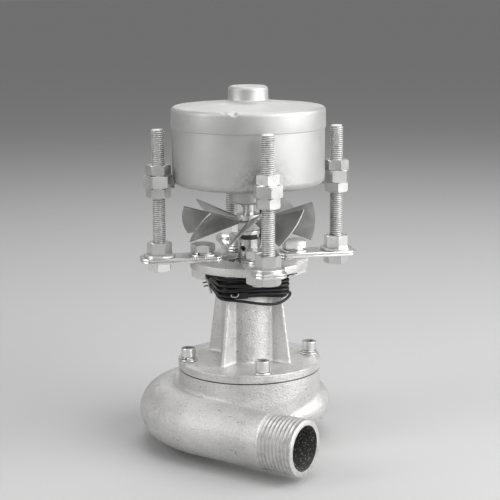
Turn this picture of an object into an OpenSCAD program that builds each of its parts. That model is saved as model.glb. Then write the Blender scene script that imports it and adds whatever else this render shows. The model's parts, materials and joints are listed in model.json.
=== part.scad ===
// Micro hydro generator: a spiral water turbine below, a ribbed bearing column, and a
// drum generator hung above it on four tie bolts, with a cooling fan on its shaft.
// The origin is on the shaft axis in the plane of the outlet ring's foot, +Z up.

/* [Turbine casing] */
// Height of the spiral's centre line above the foot
spiral_z = 30; // [28:0.5:33]
// Radius of the spiral tube where the inlet pipe joins it
spiral_tube_r = 24.4; // [24:0.1:26]
// Radius of the spiral tube at its closed end
spiral_tail_r = 10; // [8:0.5:13]
// Distance of the inlet pipe's axis outside the neck
inlet_lead = 16.9; // [15:0.1:20]
// Distance of the inlet pipe's mouth from the shaft axis, along the pipe
inlet_reach = 107; // [98:1:116]
// Outside radius of the inlet pipe's thread
inlet_thread_r = 23.9; // [22.5:0.1:25.5]
// Radius of the inlet pipe's bore
inlet_bore_r = 19.2; // [16:0.1:20]
// Radius of the neck that carries the column
neck_r = 63.5; // [61:0.5:66]
// Height of the neck's upper face
neck_top = 65.1; // [62:0.1:70]
// Radius of the outlet's bore
outlet_bore_r = 30; // [26:0.5:33]
// Wall thickness of the casting
casing_wall = 4.8; // [4:0.2:6]

/* [Column] */
// Overhang of the column's lower flange past the neck
flange_lip = 0.5; // [0:0.25:3]
// Thickness of both flanges
flange_t = 7; // [6:0.25:8.5]
// Height from the lower flange's foot to the upper flange's face
column_h = 97.9; // [92:0.5:104]
// Radius of the column's upper flange
top_flange_r = 52.5; // [51:0.25:54]
// Outside radius of the column's tube at its foot
tube_foot_r = 25.4; // [24:0.2:27]
// Outside radius of the column's tube at its head
tube_head_r = 24.6; // [24:0.2:26]
// Thickness of a rib
rib_t = 4; // [3:0.25:6]
// Reach of a rib at its foot
rib_foot_r = 43.7; // [41:0.5:46]
// Reach of a rib at its narrowest
rib_neck_r = 35.6; // [33:0.2:36]

/* [Tie bolts and links] */
// Distance of the tie bolts' axes from the can's wall
tie_gap = 13; // [12:0.1:15]
// Length of the tie bolts above the column's upper face
tie_len = 116.6; // [98:0.2:128]
// Radius of the circle of the link bolts
link_circle_r = 41.4; // [41:0.1:42]
// Width of a link
link_w = 27; // [24:0.5:30]
// Thickness of one link plate
link_t = 2.3; // [2:0.1:2.8]
// Overhang of a link past its bolts
link_end = 16.5; // [14:0.5:17.5]

/* [Generator] */
// Height of the drum's underside above the column's upper face
drum_lift = 66.8; // [64:0.2:74]
// Outside radius of the drum's lower can
can_r = 66.9; // [65:0.1:67.5]
// Radial step from the can out to its cover
cover_step = 0.8; // [0.5:0.1:1.2]
// Height of the lower can up to its seam with the cover
can_h = 49.4; // [40:0.2:58]
// Height of the cover from the seam to its outer edge
cover_h = 19; // [12:0.5:30]
// Rise of the cover from its edge to the upper boss
crown_h = 4; // [2:0.5:6]
// Radius of the bearing bosses above and below the drum
boss_r = 17.5; // [15:0.5:20]
// Height of the upper boss
top_boss_h = 13.4; // [10:0.2:18]
// Height of the lower boss
low_boss_h = 16.9; // [14:0.1:18]
// Radius of the generator's shaft
shaft_r = 5.05; // [4.5:0.05:5.5]

/* [Fan] */
// Number of fan blades
blade_count = 8; // [6:1:10]
// Radius of the fan's tips
fan_r = 59.2; // [52:0.2:61]
// Height of the fan's disc above the column's upper face
fan_lift = 33.7; // [32:0.1:38]
// Angle of a blade out of the fan's plane
blade_pitch = 45; // [30:1:50]
// Half of the angle that a blade takes up in the flat sheet
blade_half_angle = 21.2; // [15:0.2:22]
// Thickness of the fan's sheet
sheet_t = 1.2; // [0.8:0.1:2]

/* [Hidden] */

$fn = 96;
cut = 1;                 // overshoot of a cutting solid past the face it cuts
run_gap = 0.05;          // radial clearance of the shaft in its bearing

// heights, from the foot up
gasket_t = 1;
flange_foot = neck_top + gasket_t;
flange_face = flange_foot + flange_t;
top_face = flange_foot + column_h;
top_foot = top_face - flange_t;
link_face = top_face + 2 * link_t;
fan_z = top_face + fan_lift;
drum_z = top_face + drum_lift;
seam_z = drum_z + can_h;
drum_top = seam_z + cover_h;

// radii that follow the neck and the can
inlet_offset = neck_r + inlet_lead;
base_flange_r = neck_r + flange_lip;
screw_circle_r = neck_r - 8.1;
tie_circle_r = can_r + tie_gap;

// fasteners
m8_r = 4;
m8_head_r = 6.5;
m8_head_h = 8;
m8_key_af = 6;
m8_len = 25;
m12_r = 6;
m12_af = 19;
m12_head_h = 7.5;
m12_nut_h = 10.8;
link_head_h = 6.8;
flange_nut_h = 7.7;
weld_nut_af = 22.4;
weld_nut_h = 10.8;
low_lock_h = 8.8;
top_lock_h = 9;
flat_washer_t = 1.6;
spring_washer_t = 2;
link_washer_t = 1.6;
link_spring_t = 1.8;
tie_washer_t = 2.5;
tie_washer_r = 14;

// the four diagonals in the order front, right, back, left, and how far each
// fastener happens to be turned from having a flat face outwards
corner_angles = [-45, 45, 135, 225];
link_head_turns = [5, 4, 25, 21];
tie_head_turns = [-6, 12, 33, -15];
tie_longer = [2, 0, 0, 0];   // the front bolt stands a little higher than the others
base_nut_turns = [-8, -1, 20, 18];
low_lock_turns = [25, -6, 10, 19];
top_lock_turns = [17, 8, 40, 20];
no_turns = [0, 0, 0, 0];
corner_turns = [30, 30, 30, 30];

// column bearing, a 17 x 47 x 14 ball bearing
bearing_r = 23.5;
bearing_bore_r = 8.5;
bearing_h = 14;
bearing_sink = 3;

casing_c = "#b9bbbd";
steel_c = "#d5d6d4";
drum_c = "#c4c8ca";
fan_c = "#8b8f93";
rubber_c = "#1c1c1e";
sleeve_c = "#c9cac8";

function across_corners_r(af) = af / 2 / cos(30);

// One solid on each of the four diagonals at radius r, each with its own turn
module at_corners(r, turns = no_turns) {
    for (i = [0:3]) rotate(corner_angles[i]) translate([r, 0, 0]) rotate(turns[i]) children();
}

// Outline that takes the corners off a hexagon's ends, full width in between
module chamfer_outline(af, h, foot, head) {
    r = across_corners_r(af);
    drop = (r - af / 2) * tan(30);
    polygon([
        [0, 0], [foot ? af / 2 : r, 0], [r, foot ? drop : 0],
        [r, head ? h - drop : h], [head ? af / 2 : r, h], [0, h]
    ]);
}

// Hexagonal prism across flats af, a flat facing +X, its ends chamfered as asked
module hex(af, h, bore = 0, foot = false, head = true) {
    difference() {
        intersection() {
            rotate(30) cylinder(r = across_corners_r(af), h = h, $fn = 6);
            rotate_extrude($fn = 48) chamfer_outline(af, h, foot, head);
        }
        if (bore > 0) translate([0, 0, -cut]) cylinder(r = bore, h = h + 2 * cut, $fn = 48);
    }
}

// Plain ring
module ring(r, bore, h) {
    difference() {
        cylinder(r = r, h = h);
        translate([0, 0, -cut]) cylinder(r = bore, h = h + 2 * cut);
    }
}

// ---- turbine casing ----

spiral_turn = 330;       // angle that the spiral wraps round the shaft
spiral_steps = 40;
tube_sides = 24;
tail_centre_r = neck_r - 17;  // centre line radius at the spiral's closed end
taper_power = 1.8;       // how late along the spiral its tube shrinks

function spiral_radius(s) = spiral_tube_r + (spiral_tail_r - spiral_tube_r) * pow(s, taper_power);
function spiral_centre(s) = inlet_offset + (tail_centre_r - inlet_offset) * s;
function spiral_angle(s) = -90 - spiral_turn * s;

// Ring of points of the spiral at share s of its length, inset by the wall
function spiral_ring(s, inset) =
    let (a = spiral_angle(s), rc = spiral_centre(s), rt = spiral_radius(s) - inset)
    [for (k = [0:tube_sides - 1])
        let (b = 360 * k / tube_sides, r = rc + rt * cos(b))
        [r * cos(a), r * sin(a), spiral_z + rt * sin(b)]];

module spiral(inset) {
    rings = [for (i = [0:spiral_steps]) each spiral_ring(i / spiral_steps, inset)];
    last = spiral_steps * tube_sides;
    sides = [for (i = [0:spiral_steps - 1], k = [0:tube_sides - 1])
        let (a = i * tube_sides, b = a + tube_sides, n = (k + 1) % tube_sides)
        each [[a + k, b + k, b + n], [a + k, b + n, a + n]]];
    ends = [
        [for (k = [0:tube_sides - 1]) tube_sides - 1 - k],
        [for (k = [0:tube_sides - 1]) last + k]
    ];
    polyhedron(points = rings, faces = [for (f = concat(sides, ends)) [for (i = f) i]], convexity = 6);
}

thread_len = 28;
pipe_lip = 5;
pipe_proud = 0.1;        // step from the spiral's tube up to the straight pipe
pipe_shoulder = inlet_reach - pipe_lip - thread_len;
runner_r = 38;
chamber_r = runner_r + 2;
feed_h = 9;              // height of the gap through which the spiral feeds the chamber
chamber_floor = 13;
body_r = neck_r - 3.5;   // casting under the neck, between shaft and spiral
body_foot = 7;
body_edge_r = 8;
outlet_ring_r = outlet_bore_r + 7;

module inlet_pipe() {
    translate([0, -inlet_offset, spiral_z]) rotate([0, 90, 0]) {
        translate([0, 0, -cut]) cylinder(r = spiral_tube_r + pipe_proud, h = pipe_shoulder + cut);
        cylinder(r = inlet_thread_r, h = inlet_reach);
    }
}

// Solid of revolution with one rounded outer edge at its foot
module drum(r, h, edge) {
    rotate_extrude($fn = 180) union() {
        translate([0, edge]) square([r, h - edge]);
        square([r - edge, edge]);
        intersection() {
            translate([r - edge, edge]) circle(r = edge, $fn = 64);
            square([r, edge]);
        }
    }
}

// Gap between the spiral's tube and the chamber, out to the tube's centre line
module feed_gap() {
    translate([0, 0, spiral_z - feed_h / 2]) linear_extrude(height = feed_h) polygon([
        [0, 0],
        for (i = [1:spiral_steps - 2]) let (s = (i + 0.5) / spiral_steps)
            spiral_centre(s) * [cos(spiral_angle(s)), sin(spiral_angle(s))]
    ]);
}

module volute_casing() {
    color(casing_c) difference() {
        union() {
            spiral(0);
            inlet_pipe();
            translate([0, 0, body_foot]) drum(body_r, spiral_z, body_edge_r);
            translate([0, 0, spiral_z]) cylinder(r = neck_r, h = neck_top - spiral_z);
            cylinder(r = outlet_ring_r, h = chamber_floor);
        }
        translate([-cut, -inlet_offset, spiral_z]) rotate([0, 90, 0])
            cylinder(r = inlet_bore_r, h = inlet_reach + 2 * cut);
        spiral(casing_wall);
        feed_gap();
        translate([0, 0, chamber_floor]) cylinder(r = chamber_r, h = neck_top);
        translate([0, 0, -cut]) cylinder(r = outlet_bore_r, h = neck_top);
        translate([0, 0, flange_face + flat_washer_t + spring_washer_t - m8_len - cut])
            at_corners(screw_circle_r) cylinder(r = m8_r, h = m8_len + 2 * cut);
    }
}

module casing_gasket() {
    color(rubber_c) translate([0, 0, neck_top]) difference() {
        ring(neck_r - 0.6, chamber_r, gasket_t);
        translate([0, 0, -cut]) at_corners(screw_circle_r) cylinder(r = m8_r, h = gasket_t + 2 * cut);
    }
}

// ---- column ----

rib_neck_z = top_face - 36;  // height from which a rib's edge runs straight up
housing_r = 26.2;        // thicker head of the tube, round the bearing
housing_h = 26;

module rib_profile() {
    polygon([
        [0, flange_face - cut], [rib_foot_r, flange_face - cut], [rib_neck_r, rib_neck_z],
        [rib_neck_r, top_foot + cut], [0, top_foot + cut]
    ]);
}

module ribs() {
    for (a = [0:90:270]) rotate(a) rotate([90, 0, 0]) translate([0, 0, -rib_t / 2])
        linear_extrude(height = rib_t) rib_profile();
}

module bearing_column() {
    color(casing_c) difference() {
        union() {
            translate([0, 0, flange_foot]) cylinder(r = base_flange_r, h = flange_t);
            translate([0, 0, flange_face])
                cylinder(r1 = tube_foot_r, r2 = tube_head_r, h = top_foot - flange_face);
            translate([0, 0, top_face - housing_h]) cylinder(r = housing_r, h = housing_h);
            translate([0, 0, top_foot]) cylinder(r = top_flange_r, h = flange_t);
            ribs();
        }
        translate([0, 0, top_face - bearing_sink - bearing_h])
            cylinder(r = bearing_r, h = bearing_h + bearing_sink + cut);
        translate([0, 0, flange_foot - cut]) cylinder(r = bearing_bore_r + 4, h = column_h);
        translate([0, 0, flange_foot - cut])
            at_corners(screw_circle_r) cylinder(r = m8_r, h = flange_t + 2 * cut);
        translate([0, 0, top_foot - cut])
            at_corners(link_circle_r) cylinder(r = m12_r, h = flange_t + 2 * cut);
    }
}

module column_bearing() {
    color(steel_c) translate([0, 0, top_face - bearing_sink - bearing_h])
        ring(bearing_r, bearing_bore_r + run_gap, bearing_h);
}

module column_flat_washers() {
    color(steel_c) translate([0, 0, flange_face])
        at_corners(screw_circle_r) ring(8, m8_r, flat_washer_t);
}

module column_spring_washers() {
    color(steel_c) translate([0, 0, flange_face + flat_washer_t])
        at_corners(screw_circle_r) ring(m8_head_r, m8_r, spring_washer_t);
}

module column_screws() {
    head_z = flange_face + flat_washer_t + spring_washer_t;
    key_depth = m8_head_h / 2;
    color(steel_c) at_corners(screw_circle_r, link_head_turns) difference() {
        union() {
            translate([0, 0, head_z]) cylinder(r = m8_head_r, h = m8_head_h);
            translate([0, 0, head_z - m8_len]) cylinder(r = m8_r, h = m8_len + cut);
        }
        translate([0, 0, head_z + m8_head_h - key_depth])
            cylinder(r = across_corners_r(m8_key_af), h = key_depth + cut, $fn = 6);
    }
}

// ---- links and tie bolts ----

link_chamfer = 5;

// One flat link plate from its link bolt out to its tie bolt
module link_plate() {
    inner = link_circle_r - link_end;
    outer = tie_circle_r + link_end;
    half = link_w / 2;
    difference() {
        linear_extrude(height = link_t) polygon([
            [inner, half - link_chamfer], [inner + link_chamfer, half],
            [outer - link_chamfer, half], [outer, half - link_chamfer],
            [outer, link_chamfer - half], [outer - link_chamfer, -half],
            [inner + link_chamfer, -half], [inner, link_chamfer - half]
        ]);
        for (r = [link_circle_r, tie_circle_r])
            translate([r, 0, -cut]) cylinder(r = m12_r, h = link_t + 2 * cut);
    }
}

module lower_links() {
    color(steel_c) translate([0, 0, top_face]) at_corners(0) link_plate();
}

module upper_links() {
    color(steel_c) translate([0, 0, top_face + link_t]) at_corners(0) link_plate();
}

link_head_z = link_face + link_washer_t + link_spring_t;

module link_flat_washers() {
    color(steel_c) translate([0, 0, link_face])
        at_corners(link_circle_r) ring(12.5, m12_r, link_washer_t);
}

module link_spring_washers() {
    color(steel_c) translate([0, 0, link_face + link_washer_t])
        at_corners(link_circle_r) ring(10, m12_r, link_spring_t);
}

module link_bolts() {
    tip_z = top_foot - flange_nut_h - 2;
    color(steel_c) at_corners(link_circle_r, link_head_turns) union() {
        translate([0, 0, link_head_z]) hex(m12_af, link_head_h);
        translate([0, 0, tip_z]) cylinder(r = m12_r, h = link_head_z - tip_z + cut);
    }
}

module link_nuts() {
    color(steel_c) translate([0, 0, top_foot - flange_nut_h])
        at_corners(link_circle_r) hex(m12_af, flange_nut_h, m12_r, foot = true);
}

tie_nut_z = link_face + tie_washer_t;
weld_nut_z = drum_z - 0.8;

// Full-thread tie bolt, head down, on diagonal number i
module tie_bolt(i) {
    above = tie_len + tie_longer[i];
    color(steel_c) rotate(corner_angles[i]) translate([tie_circle_r, 0, 0]) union() {
        translate([0, 0, top_face]) mirror([0, 0, 1]) rotate(tie_head_turns[i]) hex(m12_af, m12_head_h);
        translate([0, 0, top_face - cut]) cylinder(r = m12_r, h = above);
        translate([0, 0, top_face + above - cut]) cylinder(r1 = m12_r, r2 = m12_r - cut, h = cut);
    }
}

module tie_bolt_front() { tie_bolt(0); }
module tie_bolt_right() { tie_bolt(1); }
module tie_bolt_back() { tie_bolt(2); }
module tie_bolt_left() { tie_bolt(3); }

module tie_washers() {
    color(steel_c) translate([0, 0, link_face])
        at_corners(tie_circle_r) ring(tie_washer_r, m12_r, tie_washer_t);
}

module tie_base_nuts() {
    color(steel_c) translate([0, 0, tie_nut_z])
        at_corners(tie_circle_r, base_nut_turns) hex(m12_af, m12_nut_h, m12_r);
}

module lower_lock_nuts() {
    color(steel_c) translate([0, 0, weld_nut_z - low_lock_h])
        at_corners(tie_circle_r, low_lock_turns) hex(m12_af, low_lock_h, m12_r, foot = true);
}

// The weld nuts stand corner-on against the drum's wall
module weld_nuts() {
    color(steel_c) difference() {
        translate([0, 0, weld_nut_z]) at_corners(tie_circle_r, corner_turns)
            hex(weld_nut_af, weld_nut_h, m12_r, foot = true);
        translate([0, 0, weld_nut_z - cut]) cylinder(r = can_r, h = weld_nut_h + 2 * cut);
    }
}

module upper_lock_nuts() {
    color(steel_c) translate([0, 0, weld_nut_z + weld_nut_h])
        at_corners(tie_circle_r, top_lock_turns) hex(m12_af, top_lock_h, m12_r, foot = true);
}

// ---- generator ----

can_edge_r = 7;
cover_edge_r = 4;
boss_edge_r = 3;

module generator_can() {
    color(drum_c) translate([0, 0, drum_z]) drum(can_r, can_h, can_edge_r);
}

// Deep-drawn cover, its top a shallow cone that rises to the boss
module generator_cover() {
    cover_r = can_r + cover_step;
    color(drum_c) union() {
        translate([0, 0, drum_top]) mirror([0, 0, 1]) drum(cover_r, cover_h, cover_edge_r);
        translate([0, 0, drum_top - cut])
            cylinder(r1 = cover_r - cover_edge_r, r2 = boss_r, h = crown_h + cut);
    }
}

module top_boss() {
    color(drum_c) translate([0, 0, drum_top + crown_h + top_boss_h]) mirror([0, 0, 1])
        drum(boss_r, top_boss_h, boss_edge_r);
}

module lower_boss() {
    color(drum_c) difference() {
        translate([0, 0, drum_z - low_boss_h]) drum(boss_r, low_boss_h, boss_edge_r);
        translate([0, 0, drum_z - low_boss_h - cut])
            cylinder(r = shaft_r + run_gap, h = low_boss_h + 2 * cut);
    }
}

// ---- rotor ----

coupling_r = shaft_r + 4.7;
coupling_h = 19.6;
coupling_z = top_face - 1.6;
coupling_top = coupling_z + coupling_h;
groove_w = 1;
screw_inset = 8;         // depth of the coupling's upper set screw below its top
spacer_r = shaft_r + 2.35;
spacer_h = 3.9;
washer_r = shaft_r + 4.85;
washer_h = 3.6;
washer_z = coupling_top + spacer_h;
cap_r = shaft_r + 5.45;
fan_disc_r = cap_r + 2;
fan_nut_af = 2 * shaft_r + 6.9;
cap_h = 5.5;
shaft_joint_z = coupling_z + coupling_h / 2;
blade_root_w = 4;

module generator_shaft() {
    color(steel_c) translate([0, 0, shaft_joint_z])
        cylinder(r = shaft_r, h = drum_z - 0.5 - shaft_joint_z);
}

// Flat sheet outline of one blade, along +X
module blade_outline() {
    intersection() {
        circle(r = fan_r, $fn = 180);
        polygon([
            [fan_disc_r - 2, -blade_root_w / 2],
            2 * fan_r * [cos(blade_half_angle), -sin(blade_half_angle)],
            2 * fan_r * [cos(blade_half_angle), sin(blade_half_angle)],
            [fan_disc_r - 2, blade_root_w / 2]
        ]);
    }
}

first_blade = -60.3;     // direction of the first blade's middle line

// One pressed sheet: a disc with its blades twisted out of its plane
module fan() {
    color(fan_c) translate([0, 0, fan_z]) difference() {
        union() {
            translate([0, 0, -sheet_t / 2]) cylinder(r = fan_disc_r, h = sheet_t);
            for (k = [0:blade_count - 1]) rotate(first_blade + k * 360 / blade_count)
                rotate([blade_pitch, 0, 0]) translate([0, 0, -sheet_t / 2])
                    linear_extrude(height = sheet_t) blade_outline();
        }
        translate([0, 0, -fan_disc_r]) cylinder(r = shaft_r, h = 2 * fan_disc_r);
        translate([0, 0, sheet_t / 2]) cylinder(r = cap_r, h = cap_h);
    }
}

module fan_cap() {
    color(steel_c) translate([0, 0, fan_z + sheet_t / 2]) ring(cap_r, shaft_r, cap_h);
}

module fan_nut() {
    h = fan_z - sheet_t / 2 - washer_z - washer_h;
    color(steel_c) translate([0, 0, washer_z + washer_h]) hex(fan_nut_af, h, shaft_r, foot = true);
}

module fan_washer() {
    color(steel_c) translate([0, 0, washer_z]) ring(washer_r, shaft_r, washer_h);
}

module fan_spacer() {
    color(rubber_c) translate([0, 0, coupling_top]) ring(spacer_r, shaft_r, spacer_h);
}

set_screw_r = 2.6;
set_screw_heights = [coupling_top - screw_inset, coupling_z + 5];
set_screw_angles = [-89, 91];

// One set screw for each shaft, on opposite sides of the coupling
module at_set_screws() {
    for (i = [0, 1]) translate([0, 0, set_screw_heights[i]])
        rotate([0, 90, set_screw_angles[i]]) children();
}

module shaft_coupling() {
    color(steel_c) difference() {
        translate([0, 0, coupling_z]) ring(coupling_r, shaft_r, coupling_h);
        translate([0, 0, shaft_joint_z - groove_w / 2]) ring(coupling_r + cut, coupling_r - 0.6, groove_w);
        at_set_screws() cylinder(r = set_screw_r, h = coupling_r + cut, $fn = 48);
    }
}

module coupling_screws() {
    key_depth = 2;
    color(rubber_c) at_set_screws() difference() {
        translate([0, 0, shaft_r]) cylinder(r = set_screw_r, h = coupling_r - shaft_r - 0.6, $fn = 48);
        translate([0, 0, coupling_r - 0.6 - key_depth]) cylinder(r = 1.5, h = key_depth + cut, $fn = 6);
    }
}

runner_z = chamber_floor + 8;
runner_h = 22;
runner_plate_t = 3;
runner_hub_r = 12;
vane_t = 2;
vane_count = 8;
runner_nut_h = 6;
shaft_foot_z = runner_z - runner_nut_h - 1;

module turbine_shaft() {
    color(steel_c) union() {
        translate([0, 0, shaft_foot_z]) cylinder(r = m12_r, h = runner_h + runner_z - shaft_foot_z + cut);
        translate([0, 0, runner_z + runner_h])
            cylinder(r = bearing_bore_r, h = coupling_z - runner_z - runner_h);
        translate([0, 0, coupling_z - cut]) cylinder(r = shaft_r, h = shaft_joint_z - coupling_z + cut);
    }
}

module runner() {
    color(steel_c) translate([0, 0, runner_z]) difference() {
        union() {
            cylinder(r = runner_r, h = runner_plate_t);
            cylinder(r = runner_hub_r, h = runner_h);
            for (k = [1:vane_count]) rotate(k * 360 / vane_count)
                translate([runner_hub_r - 2, -vane_t / 2, 0])
                    cube([runner_r - runner_hub_r, vane_t, runner_h - 2 * vane_t]);
        }
        translate([0, 0, -cut]) cylinder(r = m12_r, h = runner_h + 2 * cut);
    }
}

module runner_nut() {
    color(steel_c) translate([0, 0, runner_z - runner_nut_h])
        hex(m12_af, runner_nut_h, m12_r, foot = true, head = false);
}

// ---- cable ----

cable_r = 1.25;
cable_sides = 8;
coil_foot = top_face - 32;
coil_h = 22;
coil_t = 4.8;            // two layers of cable, pressed together
coil_bend_r = 4.75;      // inner radius of a turn's bend round a rib's tip
coil_bend_x = rib_neck_r - 4.2;
coil_side = coil_bend_x + coil_bend_r + coil_t;

// Tube through hand-laid route points, square to each stretch
function tube_dir(p, i) =
    let (d = p[min(i + 1, len(p) - 1)] - p[max(i - 1, 0)]) d / norm(d);
function tube_side(d) = let (s = cross(d, abs(d.z) > 0.9 ? [0, 1, 0] : [0, 0, 1])) s / norm(s);
function tube_ring(p, i) =
    let (d = tube_dir(p, i), u = tube_side(d), v = cross(d, u))
    [for (k = [0:cable_sides - 1]) let (b = 360 * k / cable_sides)
        p[i] + cable_r * (cos(b) * u + sin(b) * v)];

module tube(p) {
    n = cable_sides;
    last = len(p) - 1;
    rings = [for (i = [0:last]) each tube_ring(p, i)];
    sides = [for (i = [0:last - 1], k = [0:n - 1])
        let (a = i * n, b = a + n, m = (k + 1) % n) each [[a + k, a + m, b + m], [a + k, b + m, b + k]]];
    ends = [[for (k = [0:n - 1]) n - 1 - k], [for (k = [0:n - 1]) last * n + k]];
    polyhedron(points = rings, faces = concat(sides, ends), convexity = 4);
}

// The wound turns as one solid, bent round each rib's tip
module coil_outline(grow) {
    hull() for (a = [0:90:270]) rotate(a)
        translate([coil_bend_x, 0]) circle(r = coil_bend_r + grow, $fn = 32);
}

module cable_coil() {
    color(rubber_c) translate([0, 0, coil_foot]) linear_extrude(height = coil_h) difference() {
        coil_outline(coil_t);
        coil_outline(0);
    }
}

gland_angle = 115;       // side of the can that the cable leaves from
gland_z = drum_z + 15.2;
gland_r = 4;
gland_len = 5.7;

// From the gland down past the links and in under the flange to the coil's side
lead_route = [
    [-30.8, 66, 246], [-31.6, 67.8, 245.6], [-32.4, 69, 244], [-32.6, 69.4, 240],
    [-32.8, 69.6, 232], [-33, 70, 220], [-33.4, 71, 208], [-33.6, 71.6, 196],
    [-33.4, 71.4, 184], [-33, 70, 174], [-32, 67, 165], [-30.6, 62, 156],
    [-29, 56, 149], [-26.6, 48, 145], [-24, 40, 143.4], [-21.4, 33, 143],
    [-19.5, 28.2, 143], [-18.1, 26.8, 143]
];

// Slack turn that sags from the coil's front corner round to its right one
loop_route = [
    [-15, -26.6, 132], [-15, -27, 131], [-14.6, -29.6, 130.2], [-12.6, -34, 130],
    [-8, -38, 129.8], [-2, -40, 129.8], [3, -38, 129.6], [8.6, -33.8, 129.2],
    [15, -29.4, 128.8], [22, -24.4, 128], [28, -19.4, 127.2], [33, -14, 126.9],
    [36.4, -9, 127.2], [38.6, -5, 128.4], [39.4, -2, 129.4], [39.6, 0, 130.2],
    [39.4, 1.4, 131], [39.4, 1.4, 132]
];

module cable_gland() {
    color(rubber_c) rotate(gland_angle) translate([can_r, 0, gland_z]) rotate([0, 90, 0])
        cylinder(r = gland_r, h = gland_len);
}

module cable_lead() { color(rubber_c) tube(lead_route); }

module cable_loop() { color(rubber_c) tube(loop_route); }

tape_len = 10;
tape_h = 5.6;
tape_t = 1.6;
tape_z = coil_foot - 0.6;
tape_shift = -12.7;         // from the middle of the coil's front side

// Band of tape against the coil's front side
module cable_tape() {
    side = coil_bend_x / sqrt(2) + coil_bend_r + coil_t;
    color(rubber_c) rotate(-45) translate([side, tape_shift - tape_len / 2, tape_z])
        cube([tape_t, tape_len, tape_h]);
}

sleeve_top = [-coil_side - 1.55, -7, coil_foot + 18];
sleeve_foot = [-coil_side - 1.95, 2.6, coil_foot - 6];
sleeve_top_r = 2.4;
sleeve_foot_r = 1;

// Pale tapered end sleeve that hangs outside the coil at the left rib
module cable_sleeve() {
    d = sleeve_top - sleeve_foot;
    color(sleeve_c) translate(sleeve_foot) rotate([0, acos(d.z / norm(d)), atan2(d.y, d.x)])
        cylinder(r1 = sleeve_foot_r, r2 = sleeve_top_r, h = norm(d));
}

volute_casing();
casing_gasket();
bearing_column();
column_bearing();
column_screws();
column_spring_washers();
column_flat_washers();
lower_links();
upper_links();
link_bolts();
link_flat_washers();
link_spring_washers();
link_nuts();
tie_bolt_front();
tie_bolt_right();
tie_bolt_back();
tie_bolt_left();
tie_washers();
tie_base_nuts();
lower_lock_nuts();
weld_nuts();
upper_lock_nuts();
generator_can();
generator_cover();
top_boss();
lower_boss();
cable_gland();
cable_lead();
cable_coil();
cable_loop();
cable_tape();
cable_sleeve();
generator_shaft();
fan();
fan_cap();
fan_nut();
fan_washer();
fan_spacer();
shaft_coupling();
coupling_screws();
turbine_shaft();
runner();
runner_nut();
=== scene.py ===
"""Looks of a micro hydro generator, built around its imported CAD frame."""

import json
import math
from contextlib import contextmanager

import bmesh
import bpy
import numpy as np
from mathutils import Matrix, Vector, noise

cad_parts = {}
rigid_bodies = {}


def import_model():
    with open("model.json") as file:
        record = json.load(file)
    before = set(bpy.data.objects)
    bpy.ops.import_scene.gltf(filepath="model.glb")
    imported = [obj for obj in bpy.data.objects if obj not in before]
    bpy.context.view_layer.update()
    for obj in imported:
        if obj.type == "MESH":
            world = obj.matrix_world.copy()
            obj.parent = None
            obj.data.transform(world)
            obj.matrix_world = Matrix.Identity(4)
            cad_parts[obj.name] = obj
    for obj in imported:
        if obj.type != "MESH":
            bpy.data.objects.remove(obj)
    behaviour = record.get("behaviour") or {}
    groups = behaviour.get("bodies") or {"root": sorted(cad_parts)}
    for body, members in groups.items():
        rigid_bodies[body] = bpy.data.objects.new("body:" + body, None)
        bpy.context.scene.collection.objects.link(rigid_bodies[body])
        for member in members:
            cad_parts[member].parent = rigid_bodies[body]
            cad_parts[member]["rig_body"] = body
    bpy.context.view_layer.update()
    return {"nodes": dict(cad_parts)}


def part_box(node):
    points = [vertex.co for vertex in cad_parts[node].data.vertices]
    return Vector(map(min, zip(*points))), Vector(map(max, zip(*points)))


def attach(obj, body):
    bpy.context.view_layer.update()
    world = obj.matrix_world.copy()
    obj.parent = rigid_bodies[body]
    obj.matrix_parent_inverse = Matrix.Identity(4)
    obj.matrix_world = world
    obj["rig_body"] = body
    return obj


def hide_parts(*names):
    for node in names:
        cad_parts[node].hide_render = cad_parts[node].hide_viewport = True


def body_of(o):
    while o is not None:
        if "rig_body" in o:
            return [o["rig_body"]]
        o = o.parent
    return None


bl_info = {
    "name": "Micro Hydro Generator",
    "version": (1, 0, 0),
    "blender": (4, 5, 0),
    "location": "View3D > Sidebar > Hydro",
    "description": "Builds the finishes, threads, castings and cable of a micro hydro generator",
    "category": "Object",
}

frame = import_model()
MM = 0.001
TINY = 1e-7
WHITE = (1, 1, 1)
CORNERS = (-45.0, 45.0, 135.0, 225.0)
# radii of the circles that the column's screws, the link bolts and the tie bolts stand on
SCREW_CIRCLE, LINK_CIRCLE, TIE_CIRCLE = 0.0554, 0.0414, 0.0799
# outside of the ball bearing and of its seat
SEAT_R = 0.0235


def low(node):
    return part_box(node)[0]


def high(node):
    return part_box(node)[1]


def span(node):
    """Heights of a node's foot and top."""
    return low(node).z, high(node).z


def reach(node):
    """Largest distance of a node's points from the shaft axis."""
    return max(math.hypot(v.co.x, v.co.y) for v in frame["nodes"][node].data.vertices)


# ---- properties


def length(name, description, default, least, most):
    return bpy.props.FloatProperty(name=name, description=description, default=default, min=least, max=most,
                                   unit="LENGTH", precision=4)


def whole(name, description, default, least, most):
    return bpy.props.IntProperty(name=name, description=description, default=default, min=least, max=most)


def tint(name, description, default):
    return bpy.props.FloatVectorProperty(name=name, description=description, default=default, min=0, max=1,
                                         subtype="COLOR", size=3)


class CastingSettings(bpy.types.PropertyGroup):
    voxel: length("Casting Grain", "Cell size of the cast surfaces", 0.0013, 0.0008, 0.004)
    soften: whole("Fillet Passes", "How far edges and corners of the castings are rounded", 9, 0, 40)
    colour: tint("Aluminium", "Colour of the sand-cast aluminium", (0.70, 0.695, 0.685))


class FastenerSettings(bpy.types.PropertyGroup):
    tie_pitch: length("Bolt Pitch", "Thread pitch of the M12 bolts", 0.00175, 0.0005, 0.004)
    pipe_pitch: length("Pipe Pitch", "Thread pitch of the inlet pipe", 0.0036, 0.001, 0.005)
    zinc: tint("Zinc", "Colour of the bright zinc plating", (0.80, 0.80, 0.79))


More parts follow.
